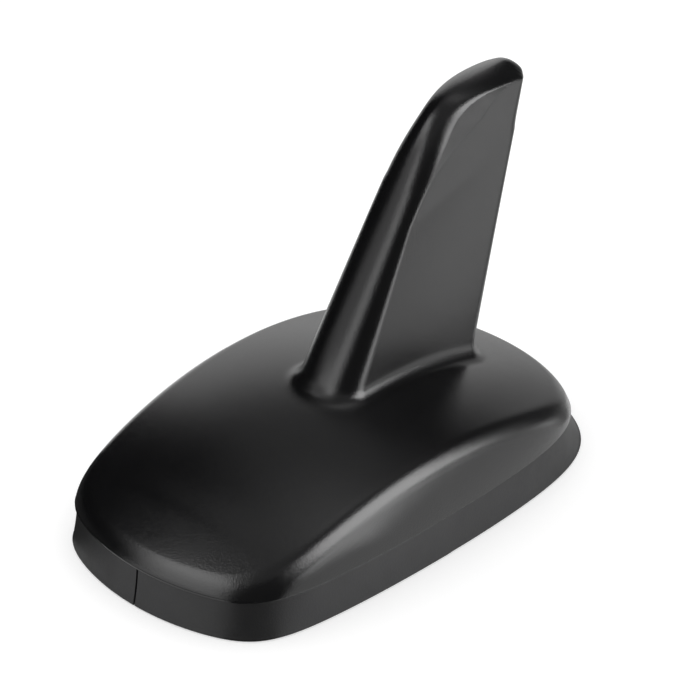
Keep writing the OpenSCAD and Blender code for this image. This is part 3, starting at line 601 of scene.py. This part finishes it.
def damper_foam():
    """Open-cell polyurethane foam: charcoal, fully matt, with torn cells that catch no light."""
    return surface("damper_foam", "#2c2c2e", "#4a4a4d", 1.2, (0.9, 1.0), 0.4, 60, IOR=1.4)[0]


def zinc_steel(name):
    """Zinc-plated steel: bluish silver, with turning marks and a dull passivated film. The marks are drawn
    1.6 mm apart, a wave's radian to 0.25 mm, coarser than real ones so that they show."""
    material, tree, bsdf, _ = surface(name, "#a9adb4", "#c3c7cc", 1.5, (0.28, 0.4), 0.15, 4, Metallic=1.0)
    place = add(tree, "ShaderNodeTexCoord").outputs["Object"]
    marks = add(tree, "ShaderNodeTexWave", [("Vector", place)], wave_type="RINGS", rings_direction="Z",
                Scale=per_mm(0.25) / WAVE_RADIANS, Distortion=1.5)
    turned = add(tree, "ShaderNodeBump", [("Height", marks.outputs["Fac"])], Distance=3 * UM)
    tree.links.new(turned.outputs[0], bsdf.inputs["Normal"])
    return material


def solder_mask(name):
    """Green lacquer over glass cloth: glossy, with the weave (0.5 mm) just showing through."""
    material, tree, bsdf, colour = surface(name, "#123f27", "#1a5534", 5, (0.18, 0.28), 0.5, 4, IOR=1.55)
    place = add(tree, "ShaderNodeTexCoord").outputs["Object"]
    cloth = add(tree, "ShaderNodeTexChecker", [("Vector", place)], Scale=per_mm(0.5),
                Color1=linear("#ffffff"), Color2=linear("#c8c8c8"))
    woven = add(tree, "ShaderNodeMix", [("A", colour), ("B", cloth.outputs["Color"])], data_type="RGBA",
                blend_type="MULTIPLY")
    woven.inputs["Factor"].default_value = 0.35
    return material, tree, bsdf, woven.outputs[2]


def main_board_mask():
    """The lacquer as it is, on the board that lies on the base plate."""
    material, tree, bsdf, woven = solder_mask("main_board_mask")
    tree.links.new(woven, bsdf.inputs["Base Color"])
    return material


def fin_board_mask():
    """The same lacquer; the copper zigzag stands proud of it on the +X face and is told apart by height."""
    track_h = 0.09 * MM
    material, tree, bsdf, woven = solder_mask("fin_board_mask")
    own = add(tree, "ShaderNodeTexCoord").outputs["Object"]
    place = add(tree, "ShaderNodeSeparateXYZ", [("Vector", own)])
    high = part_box("fin_board")[1][0]
    on_copper = add(tree, "ShaderNodeMath", [(0, place.outputs["X"])], [(1, high - track_h)],
                    operation="GREATER_THAN")
    colour = add(tree, "ShaderNodeMix", [("A", woven), ("Factor", on_copper.outputs[0])],
                 [(MIX_B, linear("#b8743c"))], data_type="RGBA")
    tree.links.new(colour.outputs[2], bsdf.inputs["Base Color"])
    tree.links.new(on_copper.outputs[0], bsdf.inputs["Metallic"])
    return material


def enamelled_copper():
    """Copper wire in clear enamel: warm brown with a wet gloss."""
    return surface("enamelled_copper", "#8f4a20", "#b0602c", 2, (0.2, 0.28), 0.3, 2, Metallic=1.0,
                   Coat_Weight=0.8, Coat_Roughness=0.08)[0]


def silvered_ceramic():
    """Fired patch ceramic: buff and slightly speckled, its top face screened with dull silver that stops
    short of the edges."""
    margin = 2.2 * MM
    film = 0.05 * MM
    material, tree, bsdf, colour = surface("silvered_ceramic", "#bdb29c", "#d2c8b4", 2, (0.42, 0.55), 0.3, 6,
                                           IOR=1.6)
    low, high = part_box("patch_ceramic")
    own = add(tree, "ShaderNodeTexCoord").outputs["Object"]
    place = add(tree, "ShaderNodeSeparateXYZ", [("Vector", own)])
    silver = add(tree, "ShaderNodeMath", [(0, place.outputs["Z"])], [(1, high[2] - film)],
                 operation="GREATER_THAN").outputs[0]
    for axis, name in ((0, "X"), (1, "Y")):
        middle = (low[axis] + high[axis]) / 2
        half = (high[axis] - low[axis]) / 2 - margin
        near = add(tree, "ShaderNodeMath", [(0, place.outputs[name])], [(1, middle), (2, half)],
                   operation="COMPARE")
        silver = add(tree, "ShaderNodeMath", [(0, silver), (1, near.outputs[0])],
                     operation="MULTIPLY").outputs[0]
    both = add(tree, "ShaderNodeMix", [("A", colour), ("Factor", silver)], [(MIX_B, linear("#c9cbcc"))],
               data_type="RGBA")
    tree.links.new(both.outputs[2], bsdf.inputs["Base Color"])
    tree.links.new(silver, bsdf.inputs["Metallic"])
    return material


def paper_tape():
    """Cream double-sided tape: dull, faintly fibrous."""
    return surface("paper_tape", "#d8d2c0", "#e8e3d4", 3, (0.7, 0.8), 0.4, 8, IOR=1.47)[0]


def moulded_epoxy():
    """Chip epoxy from a matt mould: black, with a sandy bloom."""
    return surface("moulded_epoxy", "#121214", "#1b1b1e", 1, (0.5, 0.6), 0.1, 5, IOR=1.55)[0]


def fired_filter():
    """Dielectric filter block: fired buff ceramic, dry."""
    return surface("fired_filter", "#a99f88", "#bdb49e", 1, (0.5, 0.65), 0.15, 5, IOR=1.6)[0]


def capacitor_body():
    """Barium titanate chip capacitor: brown body between tinned ends that stand slightly proud. The ends are
    picked by their distance from the chip's middle, and the two rows lie equally far out on the board."""
    half_chip = 0.82 * MM
    half_body = 0.48 * MM
    material, tree, bsdf, colour = surface("capacitor_body", "#8e7250", "#a58860", 0.6, (0.35, 0.5), 0.1, 3,
                                           IOR=1.6)
    low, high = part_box("chip_capacitors")
    middle = (high[0] - low[0]) / 2 - half_chip
    own = add(tree, "ShaderNodeTexCoord").outputs["Object"]
    place = add(tree, "ShaderNodeSeparateXYZ", [("Vector", own)])
    across = add(tree, "ShaderNodeMath", [(0, place.outputs["X"])], operation="ABSOLUTE")
    body = add(tree, "ShaderNodeMath", [(0, across.outputs[0])], [(1, middle), (2, half_body)],
               operation="COMPARE")
    both = add(tree, "ShaderNodeMix", [("B", colour), ("Factor", body.outputs[0])],
               [(MIX_A, linear("#c8cacb"))], data_type="RGBA")
    tinned = add(tree, "ShaderNodeMath", [(1, body.outputs[0])], [(0, 1.0)], operation="SUBTRACT")
    tree.links.new(both.outputs[2], bsdf.inputs["Base Color"])
    tree.links.new(tinned.outputs[0], bsdf.inputs["Metallic"])
    return material


def sintered_ferrite():
    """Ferrite bobbin: charcoal, dry and slightly crystalline."""
    return surface("sintered_ferrite", "#26272a", "#3a3b40", 0.8, (0.45, 0.6), 0.2, 10, IOR=1.9)[0]


FINISHES = {
    "cover": moulded_abs,
    "skirt": moulded_epdm,
    "base_plate": filled_nylon,
    "seal_cord": silicone_cord,
    "adhesive_pad": foam_tape,
    "cover_screws": lambda: zinc_steel("cover_screw_zinc"),
    "lead_gland": lambda: surface("gland_epdm", "#161617", "#202022", 3, (0.5, 0.6), 0.3, 8, IOR=1.5)[0],
    "main_board": main_board_mask,
    "board_screws": lambda: zinc_steel("board_screw_zinc"),
    "fin_board": fin_board_mask,
    "fin_board_foam": damper_foam,
    "loading_coil": enamelled_copper,
    "patch_ceramic": silvered_ceramic,
    "patch_tape": paper_tape,
    "patch_pin": lambda: metal("tinned_pin", "#b9a47a", "#cdbb93", (0.25, 0.35), 0.2, 2),
    "shield_can": lambda: metal("pressed_tinplate", "#b2b4b6", "#c6c8ca", (0.22, 0.34), 0.8, 5),
    "amplifier_chip": moulded_epoxy,
    "filter_blocks": fired_filter,
    "chip_capacitors": capacitor_body,
    "feed_choke": sintered_ferrite,
    "contact_clips": lambda: metal("gilt_strip", "#c89c48", "#dcb460", (0.18, 0.28), 0.4, 2),
    "coax_sockets": lambda: metal("gilt_socket", "#c89c48", "#dcb460", (0.2, 0.3), 0.2, 2),
}


def dress(obj, material):
    """Gives a piece its one material."""
    obj.data.materials.clear()
    obj.data.materials.append(material)


finishes = {node: make() for node, make in FINISHES.items()}
dress(cover_piece(), finishes["cover"])
dress(skirt_piece(), finishes["skirt"])
for node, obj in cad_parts.items():
    dress(obj, finishes[node])


# Camera, as fitted to the photograph

cam_azimuth, cam_elevation, cam_distance = 43.51, 33.07, 864.0
cam_target_z, cam_aim_right, cam_aim_up = 30.0, 3.16, 0.40
cam_lens, cam_sensor = 242.5, 36.0
cam_near, cam_far = 50.0, 20000.0
right = Vector((cos(cam_azimuth), sin(cam_azimuth), 0))
back = Vector((sin(cam_azimuth) * cos(cam_elevation), -cos(cam_azimuth) * cos(cam_elevation),
               sin(cam_elevation)))
up = back.cross(right)
target = Vector((0, 0, cam_target_z)) + right * cam_aim_right + up * cam_aim_up
stand = Matrix.Translation((target + back * cam_distance) * MM)
camera = bpy.data.objects.new("camera", bpy.data.cameras.new("camera"))
bpy.context.scene.collection.objects.link(camera)
camera.data.lens = cam_lens
camera.data.sensor_width = cam_sensor
camera.data.clip_start = cam_near * MM
camera.data.clip_end = cam_far * MM
camera.matrix_world = stand @ Matrix((right, up, back)).transposed().to_4x4()
bpy.context.scene.camera = camera


# Studio: white table, and round it the softboxes, reflectors and black flags that the satin plastic shows.
# Each panel is a stretch of azimuth (0 towards -Y, as the camera's) and elevation with one radiance, where
# 1 is the table's white. Panels standing on the table start at its horizon; sheets lie flat on it.

# Each row: azimuths of the lower edge, azimuths of the upper edge, elevations, radiance, distance in metres.
PANELS = {
    "right_softbox": ((96, 133), (85, 136), (8, 47), 6.5, 0.6),
    "right_softbox_foot": ((98, 114), (98, 114), (0, 10), 5.0, 0.21),
    "left_flag": ((-110, -20), (-110, -20), (0, 60), 0.0, 0.8),
    "camera_flag": ((-20, 97), (-20, 85), (0, 43), 0.05, 0.7),
    "rear_right_reflector": ((133, 150), (136, 158), (0, 26), 0.55, 0.8),
    "rear_flag": ((150, 184), (158, 184), (0, 36), 0.1, 0.8),
    "rear_high_flag": ((150, 208), (150, 208), (36, 55), 0.05, 0.8),
    "rear_left_reflector": ((184, 208), (184, 208), (0, 27), 0.52, 0.8),
    "left_reflector": ((208, 248), (208, 248), (0, 32), 1.1, 0.8),
}
# The dark room behind them, with its radius in metres
ROOM_RADIANCE, ROOM_RADIUS = 0.27, 2.6
# The table's half side in metres, and its drop below the part, which leaves room for the sheets
TABLE_HALF = 3.0
floor_drop = 0.1 * MM
# What the table adds to its lit paint, straight to the camera and in reflections
TABLE_GLOW, TABLE_GLOW_REFLECTED = 0.43, 0.32
# Rows and columns of a panel's mesh, columns of a sheet's, and layers that the table's drop is split into
PANEL_ROWS, PANEL_COLS, SHEET_COLS, SHEET_LAYERS = 16, 48, 24, 10
# The softbox ahead of the nose is made of stretches of a sphere round the nose. Each row: where the sides
# stand in X at the lower and at the upper edge, as shares of the radius, the roll above the horizon at these
# edges, and the radiance. The centre is in millimetres, the radius in metres.
ARCH_CENTRE, ARCH_RADIUS = (5, -48, 8), 0.4
ARCH = {
    "nose_softbox_low": ((-0.57, 0.2), (-0.57, 0.2), (-1, 22), 1.8),
    "nose_softbox": ((-0.57, 0.2), (-0.57, 0.2), (22, 40), 2.3),
    "nose_softbox_top": ((-0.57, 0.2), (-0.57, -0.26), (40, 77), 3.0),
}
# Flat cards: a grey one that veils the nose's softbox from the fin, and the one overhead.
CARDS = {
    "fin_veil": ([(-45, -40, 44), (-6, -40, 44), (-6, -40, 125), (-45, -40, 125)], 0.75),
    "overhead_card": ([(-330, 20, 1000), (290, 20, 1000), (290, 330, 1000), (-330, 330, 1000)], 0.8),
}
# The sheets are painted light and shade on the table, seen only in reflections: the pools are painted pools
# of light, and the dark sheets are painted shade.
# Each row: the corner that the sheet fans out from, its azimuths, near and far edge in metres, radiance.
SHEETS = {
    "left_black_sheet": ((0, -40), (-112, -36), (0.024, 2.5), 0.05),
    "camera_sheet": ((18, -44), (13, 106), (0, 2.5), 0.05),
    "rear_sheet": ((0, 10), (168, 246), (0, 2.5), 0.6),
    "rear_right_sheet": ((0, 0), (134, 144.5), (0.055, 2.5), 0.95),
    "rear_right_pool": ((0, 0), (144.5, 157), (0.075, 0.25), 1.8),
    "rear_dark_sheet": ((26, 34), (160, 190), (0.019, 2.5), 0.35),
    "right_pool": ((30, -28), (94, 140), (0.028, 0.17), 3.2),
    "right_far_pool": ((0, 0), (119, 131), (0.24, 0.4), 3.8),
}


def stage_piece(name, verts, faces, material):
    """A piece of the studio, which is no part of the object."""
    obj = new_object(name, verts, faces)
    obj.data.materials.append(material)
    return obj


def glowing(name, radiance):
    """Plain white light of one radiance."""
    material, tree = blank_material(name)
    light = add(tree, "ShaderNodeEmission", Color=linear("#ffffff"), Strength=radiance)
    add(tree, "ShaderNodeOutputMaterial", [("Surface", light.outputs[0])])
    return material


def reflected_light(name, verts, faces, radiance):
    """A glowing piece that is seen only in reflections, so it shades nothing and hides nothing."""
    obj = stage_piece(name, verts, faces, glowing(name, radiance))
    obj.visible_camera = obj.visible_diffuse = obj.visible_shadow = False
    obj.visible_transmission = obj.visible_volume_scatter = False


def edges_at(low_edge, high_edge, u):
    """Places across a panel from its left to its right side, at the share u of its height."""
    return np.linspace(mix(low_edge[0], high_edge[0], u), mix(low_edge[1], high_edge[1], u), PANEL_COLS)


def panel(name, low_edge, high_edge, elevations, radiance, radius):
    """Piece of a sphere round the object, its side edges leaning from one pair of azimuths to the other."""
    verts = []
    for u in np.linspace(0, 1, PANEL_ROWS):
        e = mix(*elevations, u)
        verts += [(radius * sin(a) * cos(e), -radius * cos(a) * cos(e), radius * sin(e))
                  for a in edges_at(low_edge, high_edge, u)]
    reflected_light(name, verts, ring_faces(PANEL_ROWS, PANEL_COLS, closed=False), radiance)


def arch(name, low_edge, high_edge, rolls, radiance):
    """Piece of the arched softbox, its side edges leaning from one pair of places in X to the other."""
    verts = []
    for u in np.linspace(0, 1, PANEL_ROWS):
        roll = mix(*rolls, u)
        for x in edges_at(low_edge, high_edge, u):
            way = np.array([x, -cos(roll) * math.sqrt(1 - x * x), sin(roll) * math.sqrt(1 - x * x)])
            verts.append(tuple(np.array(ARCH_CENTRE) * MM + ARCH_RADIUS * way))
    reflected_light(name, verts, ring_faces(PANEL_ROWS, PANEL_COLS, closed=False), radiance)


def card(name, corners, radiance):
    """Flat card between four corners, which are in millimetres."""
    reflected_light(name, (np.array(corners) * MM).tolist(), [(0, 1, 2, 3)], radiance)


def sheet(name, corner_at, azimuths, reach_m, radiance, lift):
    """Sector lying on the table top, its corner in millimetres: painted light on the table where its
    radiance is high, painted shade where it is low.
    """
    ways = [(sin(a), -cos(a)) for a in np.linspace(*azimuths, SHEET_COLS)]
    verts = [(corner_at[0] * MM + r * x, corner_at[1] * MM + r * y, lift - floor_drop)
             for r in reach_m for x, y in ways]
    reflected_light(name, verts, ring_faces(2, SHEET_COLS, closed=False), radiance)


def white_table():
    """Matt white paint that the camera sees a little over-exposed, and that keeps the object's shadow."""
    material, tree = blank_material("table_white")
    paint = add(tree, "ShaderNodeBsdfDiffuse", Color=linear("#dcdcdc"))
    path = add(tree, "ShaderNodeLightPath").outputs
    seen = add(tree, "ShaderNodeMath", [(0, path["Is Camera Ray"]), (1, path["Is Transmission Ray"])],
               operation="MAXIMUM")
    direct = add(tree, "ShaderNodeMath", [(0, seen.outputs[0])], [(1, TABLE_GLOW)], operation="MULTIPLY")
    strength = add(tree, "ShaderNodeMath", [(0, path["Is Glossy Ray"]), (2, direct.outputs[0])],
                   [(1, TABLE_GLOW_REFLECTED)], operation="MULTIPLY_ADD")
    light = add(tree, "ShaderNodeEmission", [("Strength", strength.outputs[0])])
    both = add(tree, "ShaderNodeAddShader", [(0, paint.outputs[0]), (1, light.outputs[0])])
    add(tree, "ShaderNodeOutputMaterial", [("Surface", both.outputs[0])])
    return material


table_corners = [(x * TABLE_HALF, y * TABLE_HALF, -floor_drop)
                 for x, y in ((-1, -1), (1, -1), (1, 1), (-1, 1))]
stage_piece("table", table_corners, [(0, 1, 2, 3)], white_table())
for name, row in PANELS.items():
    panel(name, *row)
panel("dark_room", (-180, 180), (-180, 180), (0, 90), ROOM_RADIANCE, ROOM_RADIUS)
for name, row in ARCH.items():
    arch(name, *row)
for name, row in CARDS.items():
    card(name, *row)
for i, (name, row) in enumerate(SHEETS.items()):
    sheet(name, *row, floor_drop * (i + 1) / SHEET_LAYERS)

world = bpy.data.worlds.new("studio")
bpy.context.scene.world = world
world.use_nodes = True
sky = world.node_tree
sky.nodes.clear()
glow = add(sky, "ShaderNodeBackground", Color=linear("#ffffff"), Strength=1.0)
add(sky, "ShaderNodeOutputWorld", [("Surface", glow.outputs[0])])

bpy.context.scene.view_settings.view_transform = "Standard"
